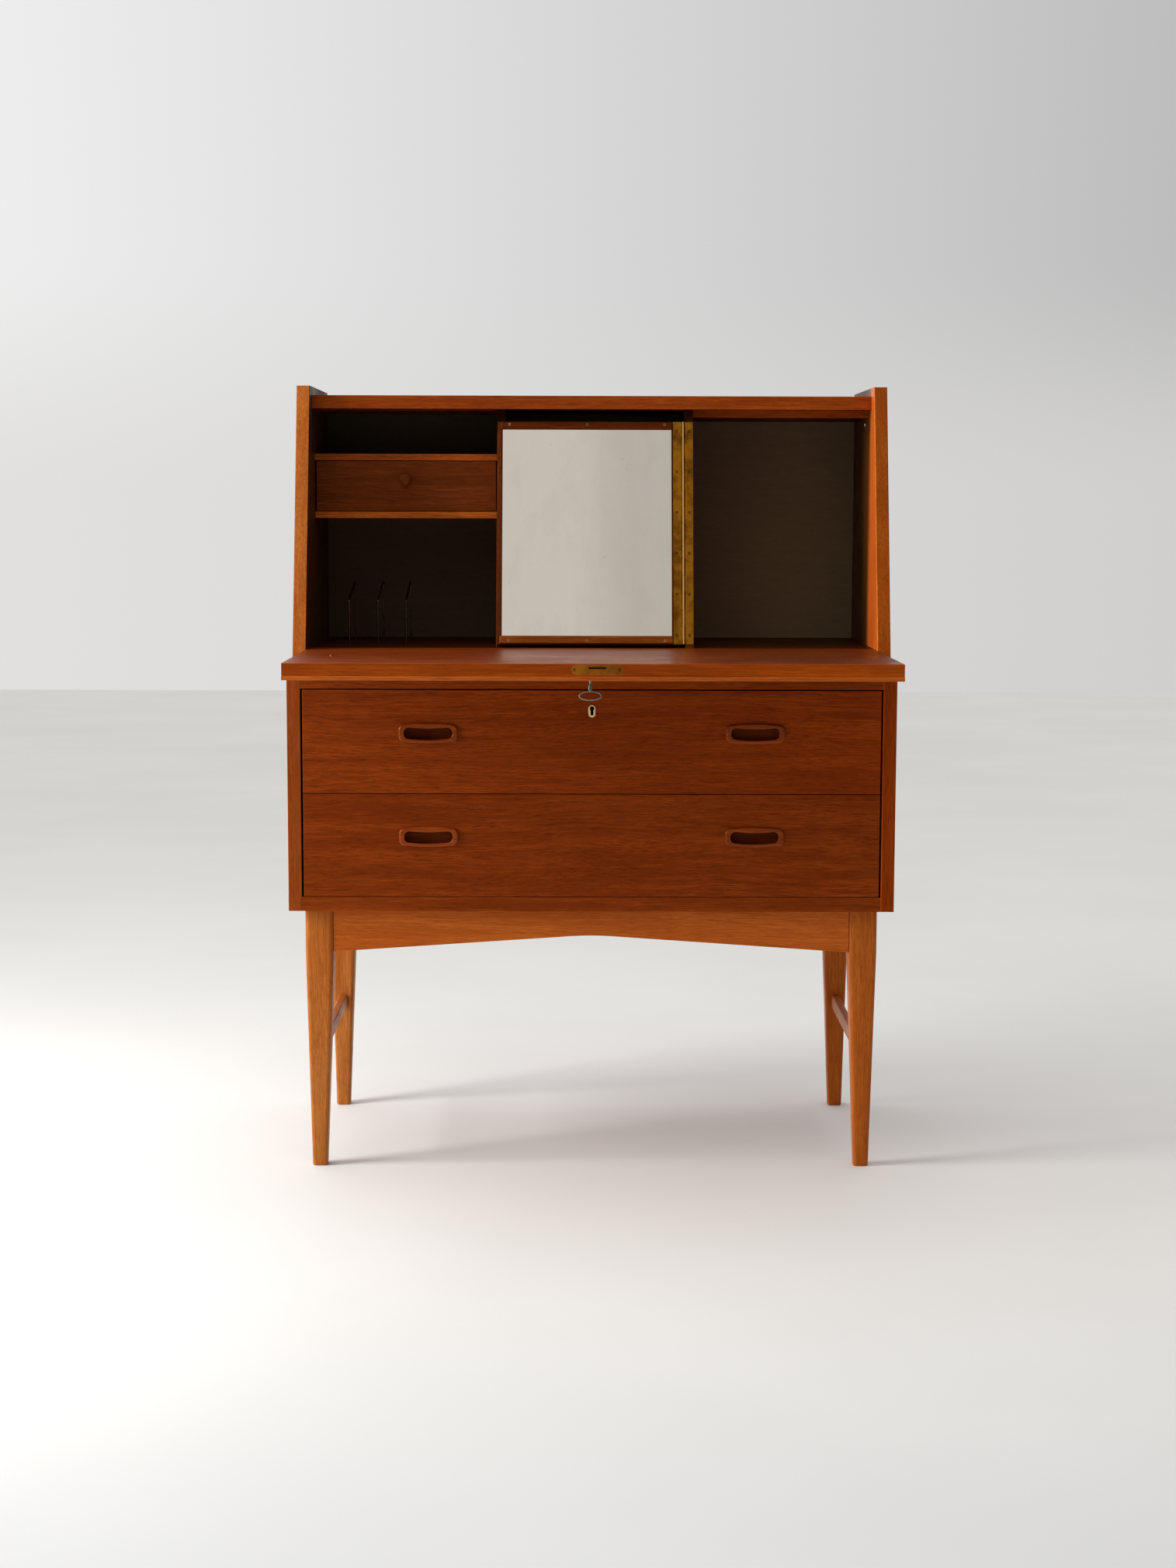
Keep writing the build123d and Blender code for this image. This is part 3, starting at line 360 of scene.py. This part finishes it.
# ---- materials ----
looks = {
    "upper_front": wood(
        "teak_upper_front", "X", 1.0, pore=0.6,
        shades=[
            # Painted light: the upper drawer front is made lighter from the middle to its right end,
            # against the fall-off of the window light from the left.
            ((1.07, 1.03, 0.95), ("X", -0.30, 0.0)),                       # middle and right
            ((1.12, 1.08, 0.8), ("X", 0.10, 0.30)),                        # right end
        ], **teak
    ),
    "lower_front": wood("teak_lower_front", "X", 2.3, pore=0.6, **teak),
    "flap": wood(
        "teak_flap", "X", 3.1, rough=(0.30, 0.44), gleam=0.36, tint=(1.0, 0.46, 0.08), pore=0.4,
        # Painted shade: the flap is darker to the right, away from the window light.
        shades=[((0.72, 0.72, 0.72), ("X", -0.05, 0.30))], **teak
    ),
    "lipping": wood(
        "teak_lipping", "X", 4.7, pore=0.12, figure=0.4, gleam=0.3, tint=(1.0, 0.56, 0.14),
        shades=[
            # The lip is much lighter: partly paler worn wood, partly a painted highlight where its edge
            # catches the light.
            ((1.30, 1.68, 4.2), ("Z", lip_top + 0.0003, lip_top - 0.0003)),    # lip
            # Painted light: the right half is made lighter, against the fall-off of the window light.
            ((1.20, 1.26, 1.05), ("X", 0.0, 0.30)),                        # right half
        ], **teak_lipping
    ),
    "top": wood("teak_top", "X", 5.2, pore=0.4, **teak_edge),
    "case": wood(
        "teak_case", "X", 6.4, pore=0.4, figure=0.5,
        shades=[((1.08, 1.14, 1.2), ("Z", 0.5, 0.4))], **teak              # bottom board
    ),
    "left_side": wood(
        "teak_left_side", "Z", 7.1, pore=0.4, figure=0.6, gleam=0.26,
        shades=[
            # Painted shadow of the flap on the front edge below it.
            ((0.61, 0.41, 0.29), below_flap, front_edge),
            # Painted shade on the inner face.
            ((0.20, 0.26, 0.36), inner_face),
            # The outer face is brought back to the plain teak tone, without the painted light of this
            # side's palette.
            ((0.56, 0.40, 0.32), outer_face, behind_edge),
        ], **teak_left_lit
    ),
    "right_side": wood(
        "teak_right_side", "Z", 7.9, pore=0.4, figure=0.6, gleam=0.26, tint=(1.0, 0.56, 0.12),
        shades=[
            # Painted shadow of the flap on the front edge below it.
            ((0.67, 0.38, 0.18), below_flap, front_edge),
            # The outer face is brought back toward the plain teak tone, without the painted tone of this
            # side's palette.
            ((0.76, 0.58, 0.52), outer_face, behind_edge),
            # Painted shadow of the partition on the inner face, deep inside.
            ((0.20, 0.25, 0.42), inner_face, ("Y", 0.09, 0.135)),          # deep inside
            # Painted light: window light on the inner face near the front.
            ((1.5, 1.15, 1.1), inner_face, ("Y", 0.125, 0.085)),           # near the front
            # Painted highlight along the inner front arris.
            ((1.6, 2.4, 5.0), *inner_arris_highlight),
        ], **teak_right_shaded
    ),
    "pulls": wood(
        # The pulls' arrises are made much paler: painted highlights along the rims, besides wear.
        "teak_pulls", "X", 8.8, pore=0.2, figure=0.6, rough=(0.12, 0.20), gleam=0.42,
        tint=(1.0, 0.56, 0.28), wear_and_highlight=0.95,
        shades=[
            # Painted shade inside the finger slot, lighter at its back.
            ((0.26, 0.24, 0.20), ("Y", front_y - 0.0012, front_y + 0.0012)),    # inside the slot
            ((2.4, 2.4, 2.4), ("Y", front_y + 0.0105, front_y + 0.0112)),       # its back
        ],
        matt=("Y", front_y - 0.0010, front_y + 0.0005), **teak
    ),
    "desk_floor": wood("teak_desk_floor", "X", 9.6, gleam=0.1, **teak_floor),
    "ceiling": wood(
        "teak_compartment_board", "X", 9.9,
        # Painted shade on the underside behind the front edge.
        shades=[((0.25, 0.3, 0.4), ("Y", board_front + 0.001, board_front + 0.003))], **teak_edge
    ),
    "partitions": wood(
        "teak_partitions", "Z", 10.2,
        # Painted shadow of the top panel on the partitions' upper ends.
        shades=[((0.15, 0.12, 0.12), ("Z", 1.040, 1.062))], **inner
    ),
    "shelves": wood("teak_shelves", "X", 11.5, **teak_shelf),
    "low_shelf": wood("teak_low_shelf_lit", "X", 11.9, **teak_low_shelf_lit),
    "small_front": wood("teak_small_front", "X", 12.1, pore=0.45, **teak_inner_front),
    "knob": wood("teak_knob", "Y", 13.4, **inner),
    # Painted shade: the door panel is darker at its left edge, beside the partition.
    "door": wood("teak_door", "Z", 14.9, shades=[((0.7, 0.7, 0.7), ("X", -0.10, -0.12))], **inner),
    "rails": wood(
        "teak_rails", "X", 15.3, figure=0.4,
        shades=[
            ((0.93, 1.4, 1.8), ("Z", 0.95, 0.9)),                          # lower rail
            # Painted shadow of the top panel on the upper rail.
            ((0.36, 0.36, 0.12), ("Z", 0.9, 1.0)),                         # upper rail
        ], **teak_edge
    ),
    "back": wood(
        "stained_back", "X", 16.6, pore=0.12, rough=(0.5, 0.7),
        shades=[
            # Painted shade on the back of the left compartments, darkest in the upper one.
            ((0.42, 0.50, 0.52), left_compartment, ("Z", 0.96, 1.02), board_inside),
            ((0.72, 0.74, 0.76), left_compartment, ("Z", 0.93, 0.91), board_inside),
            # Painted light on the back of the right compartment.
            ((1.42, 1.42, 1.35), ("X", 0.16, 0.34), board_inside),         # right compartment
            ((1.2, 1.0, 0.82), ("Y", back_y - 0.004, back_y - 0.001)),     # outer face
        ], **stained
    ),
    "legs": wood(
        "oak_legs", "Z", 17.8, pore=0.4, figure=0.8, gleam=0.35,
        shades=[
            # Painted light: the left legs' feet are lighter and whiter in the window light.
            ((1.06, 1.26, 1.75), ("X", -0.1, -0.2), ("Z", 0.30, 0.12)),    # left feet
            # Painted shade: the right legs are darker and warmer, away from the window light.
            ((1.0, 0.86, 0.6), ("X", 0.1, 0.2)),                           # right legs
        ], **oak
    ),
    "aprons": wood("oak_aprons", "X", 18.4, pore=0.4, figure=0.8, gleam=0.35, **oak_apron),
    "stretchers": wood("oak_stretchers", "Y", 19.7, pore=0.5, figure=0.5, gleam=0.35, **oak),
    "drawer_sides": wood("beech_boxes", "Y", 20.5, rough=(0.5, 0.7), pore=0.3, **pale),
    "drawer_bottoms": wood("plywood_bottoms", "X", 21.2, rough=(0.5, 0.7), pore=0.3, **pale),
    "brass": metal(
        "aged_brass", (0.42, 0.170, 0.012), (0.12, 0.040, 0.004), (0.24, 0.46), 0.75,
        highlight_and_shade_lines=[
            # Painted highlight along the hinge knuckle.
            (hinge_x, 0.0009, (0.80, 0.56, 0.26)),
            # Painted shade beside the knuckle.
            (hinge_x - 0.0017, 0.0009, (0.06, 0.02, 0.003)),
        ],
    ),
    "lock_brass": metal(
        "aged_lock_brass", (0.44, 0.150, 0.014), (0.16, 0.050, 0.006), (0.34, 0.5), 0.7
    ),
    # Dark brass: tarnish on the hinge and lock screws, and painted shade on the flap's lock bolt, which
    # fills the slot of the lock plate.
    "brass_dark": metal(
        "tarnish_and_shade_brass", (0.10, 0.040, 0.008), (0.035, 0.014, 0.004), (0.35, 0.55), 0.8
    ),
    "brass_bright": metal("rubbed_brass", (0.90, 0.62, 0.32), (0.45, 0.24, 0.08), (0.24, 0.38), 0.4),
    "nickel": metal("worn_nickel", (0.33, 0.30, 0.26), (0.05, 0.045, 0.035), (0.12, 0.26), 0.85),
    "steel": metal("plain_steel", (0.45, 0.45, 0.45), (0.16, 0.14, 0.12), (0.3, 0.5), 0.5),
    # Painted shade: the drawer lock's case is nearly black so that its keyhole reads dark.
    "dark_steel": metal(
        "keyhole_shade_steel", (0.030, 0.028, 0.026), (0.010, 0.009, 0.008), (0.5, 0.7), 0.6
    ),
    "rail_screws": metal(
        "worn_rail_screws", (0.46, 0.30, 0.18), (0.10, 0.04, 0.02), (0.2, 0.34), 0.9, grain=900.0
    ),
    "wire": metal("lacquered_wire", (0.13, 0.068, 0.034), (0.03, 0.016, 0.010), (0.20, 0.32), 0.6),
    "mirror": mirror_glass("silvered_glass"),
}

wears = {
    "upper_front": ["upper_drawer_front"],
    "lower_front": ["lower_drawer_front"],
    "flap": ["flap_panel"],
    "lipping": ["flap_lipping"],
    "top": ["top_panel"],
    "case": ["bottom_board", "case_board", "front_rail"],
    "left_side": ["side_panel_left"],
    "right_side": ["side_panel_right"],
    "pulls": ["upper_drawer_pulls", "lower_drawer_pulls"],
    "desk_floor": ["desk_floor"],
    "ceiling": ["compartment_board"],
    "partitions": ["partition_left", "partition_right"],
    "shelves": ["shelf_upper"],
    "low_shelf": ["shelf_lower"],
    "small_front": ["small_drawer_front"],
    "knob": ["small_drawer_knob"],
    "door": ["mirror_door_panel"],
    "rails": ["mirror_rails"],
    "back": ["back_panel"],
    "legs": ["leg_front_left", "leg_front_right", "leg_back_left", "leg_back_right"],
    "aprons": ["apron_front", "apron_back"],
    "stretchers": ["stretcher_left", "stretcher_right", "base_side_rails"],
    "drawer_sides": ["upper_drawer_box", "lower_drawer_box", "small_drawer_box", "drawer_runners"],
    "drawer_bottoms": ["upper_drawer_bottom", "lower_drawer_bottom", "small_drawer_bottom"],
    "brass": [
        "mirror_hinge_case_leaf", "mirror_hinge_door_leaf", "drawer_lock_bolt", "case_pivot_plates",
        "flap_pivot_plates", "strike_plates", "flap_stud",
    ],
    "lock_brass": ["flap_lock_plate"],
    "brass_dark": [
        "mirror_hinge_case_screws", "mirror_hinge_door_screws", "flap_lock_screws", "flap_lock_bolt",
    ],
    "brass_bright": ["upper_drawer_escutcheon", "flap_escutcheon"],
    "nickel": ["flap_key", "side_hook"],
    "steel": ["flap_lock_case"],
    "dark_steel": ["upper_drawer_lock_case"],
    "rail_screws": ["mirror_rail_screws"],
    "wire": ["letter_dividers"],
    "mirror": ["mirror_glass"],
}
for look_name, members in wears.items():
    for member in members:
        node = nodes[member]
        node.data.materials.clear()
        node.data.materials.append(looks[look_name])


# ---- floor ----
floor_reach = 9.0
floor_tones = ((0.80, 0.80, 0.795), (0.84, 0.84, 0.835))
# Painted shade: the floor is darker in front of the desk, towards the camera.
near_floor_shade = (0.86, 0.88, 0.90)
near_floor = ("Y", -0.5, -1.6)
floor_rough = 0.75

floor_look = Look("pale_floor")
floor_cloud = floor_look.noise(floor_look.stretched(floor_look.place, 1.2), detail=4.0)
floor_tone = floor_look.mix(floor_look.spread(floor_cloud, 0.3, 0.7), *floor_tones)
floor_near_tone = floor_look.times(floor_tone, near_floor_shade)
floor_tone = floor_look.mix(floor_look.past(*near_floor), floor_tone, floor_near_tone)
floor_look.finish(floor_tone, floor_rough)

floor_corners = [(x * floor_reach, y * floor_reach, 0) for x, y in ((-1, -1), (1, -1), (1, 1), (-1, 1))]
floor_mesh = bpy.data.meshes.new("floor")
floor_mesh.from_pydata(floor_corners, [], [(0, 1, 2, 3)])
floor_mesh.materials.append(floor_look.material)
floor = bpy.data.objects.new("floor", floor_mesh)
bpy.context.scene.collection.objects.link(floor)

# ---- surrounding light ----
world = bpy.data.worlds.new("studio")
bpy.context.scene.world = world
world.use_nodes = True
sky_tree = world.node_tree
background = sky_tree.nodes["Background"]


def sky(kind, *sockets):
    """A node of the world with its first inputs linked or set, in order."""
    node = sky_tree.nodes.new(kind)
    for target, value in zip(node.inputs, sockets):
        if isinstance(value, bpy.types.NodeSocket):
            sky_tree.links.new(value, target)
        else:
            target.default_value = value
    return node


def sky_spread(value, low, high, to_low, to_high):
    node = sky("ShaderNodeMapRange", value, low, high, to_low, to_high)
    node.interpolation_type = "SMOOTHSTEP"
    return node.outputs[0]


def sky_math(operation, a, b):
    node = sky("ShaderNodeMath", a, b)
    node.operation = operation
    return node.outputs[0]


def sky_mix(share, a, b, blend="MIX"):
    node = sky_tree.nodes.new("ShaderNodeMix")
    node.data_type = "RGBA"
    node.blend_type = blend
    for index, value in ((mix_share, share), (mix_a, a), (mix_b, b)):
        if isinstance(value, bpy.types.NodeSocket):
            sky_tree.links.new(value, node.inputs[index])
        else:
            node.inputs[index].default_value = value
    return node.outputs[mix_result]


# Behind the desk the light fades from left to right, like a wall. In front it is dim and warm, with a soft
# step at the middle, which the mirror shows, and it falls off to the right. Above it is bright. Near and
# below the horizon it is mixed with the colour of a far floor.
direction = sky("ShaderNodeSeparateXYZ", sky_tree.nodes.new("ShaderNodeTexCoord").outputs["Generated"])
sky_x, sky_y, sky_z = direction.outputs
wall_stops = [(0.0, 1.00), (0.36, 0.90), (0.50, 0.68), (0.62, 0.50), (1.0, 0.22)]
front_tint = (1.0, 0.93, 0.84)
far_floor_tone = (0.70, 0.69, 0.675)
far_floor_share = 0.35             # of the light behind it that shows through

ramp = sky("ShaderNodeValToRGB", sky_math("MULTIPLY", sky_math("ADD", sky_x, 1.0), 0.5))
elements = ramp.color_ramp.elements
for element, (position, value) in zip(elements, (wall_stops[0], wall_stops[-1])):
    element.position = position
    element.color = opaque((value,) * 3)
for position, value in wall_stops[1:-1]:
    elements.new(position).color = opaque((value,) * 3)

front = sky_spread(sky_z, 0.10, 0.40, 0.12, 0.54)
front = sky_math("MULTIPLY", front, sky_spread(sky_x, 0.10, 0.70, 1.05, 0.30))
front = sky_math("MULTIPLY", front, sky_spread(sky_x, -0.004, 0.024, 1.1, 0.92))
front = sky_mix(1.0, front, opaque(front_tint), "MULTIPLY")
overhead = sky_spread(sky_z, 0.45, 0.95, 0.0, 0.45)
behind = sky_spread(sky_y, -0.10, 0.25, 0.0, 1.0)
around = sky_mix(behind, front, ramp.outputs[0])
far_floor = sky_mix(far_floor_share, opaque(far_floor_tone), around)
around = sky_mix(sky_spread(sky_z, 0.0, 0.10, 1.0, 0.0), around, far_floor)
sky_tree.links.new(sky_mix(1.0, around, overhead, "ADD"), background.inputs["Color"])
background.inputs["Strength"].default_value = 1.0

# ---- window light ----
window_place = Vector((-2.3, -0.62, 1.30))
window_aim = Vector((0.0, -0.25, 0.7))
window = bpy.data.lights.new("window_left", "AREA")
window.shape = "RECTANGLE"
window.size = 0.9
window.size_y = 1.5
window.energy = 64.0
window.color = (1.0, 0.985, 0.96)
lamp = bpy.data.objects.new("window_left", window)
lamp.location = window_place
lamp.visible_camera = False
lamp.rotation_mode = "QUATERNION"
lamp.rotation_quaternion = (window_aim - window_place).to_track_quat("-Z", "Y")
bpy.context.scene.collection.objects.link(lamp)

# ---- camera ----
camera_place = (-0.0234, -3.5697, 0.9451)
yaw = math.radians(-0.299)
pitch = math.radians(6.426)        # looking down
roll = math.radians(0.154)
level_right = Vector((math.cos(yaw), math.sin(yaw), 0))
ahead = Vector((-math.sin(yaw) * math.cos(pitch), math.cos(yaw) * math.cos(pitch), -math.sin(pitch)))
level_down = ahead.cross(level_right)
right = level_right * math.cos(roll) - level_down * math.sin(roll)
down = level_right * math.sin(roll) + level_down * math.cos(roll)
camera_data = bpy.data.cameras.new("camera")
camera_data.sensor_width = 36.0
camera_data.lens = 57.43
camera_data.clip_start = 0.05
camera_data.clip_end = 100.0
camera = bpy.data.objects.new("camera", camera_data)
bpy.context.scene.collection.objects.link(camera)
axes = Matrix((right, -down, -ahead)).transposed().to_4x4()
camera.matrix_world = Matrix.Translation(camera_place) @ axes
bpy.context.scene.camera = camera
bpy.context.scene.view_settings.view_transform = "Standard"
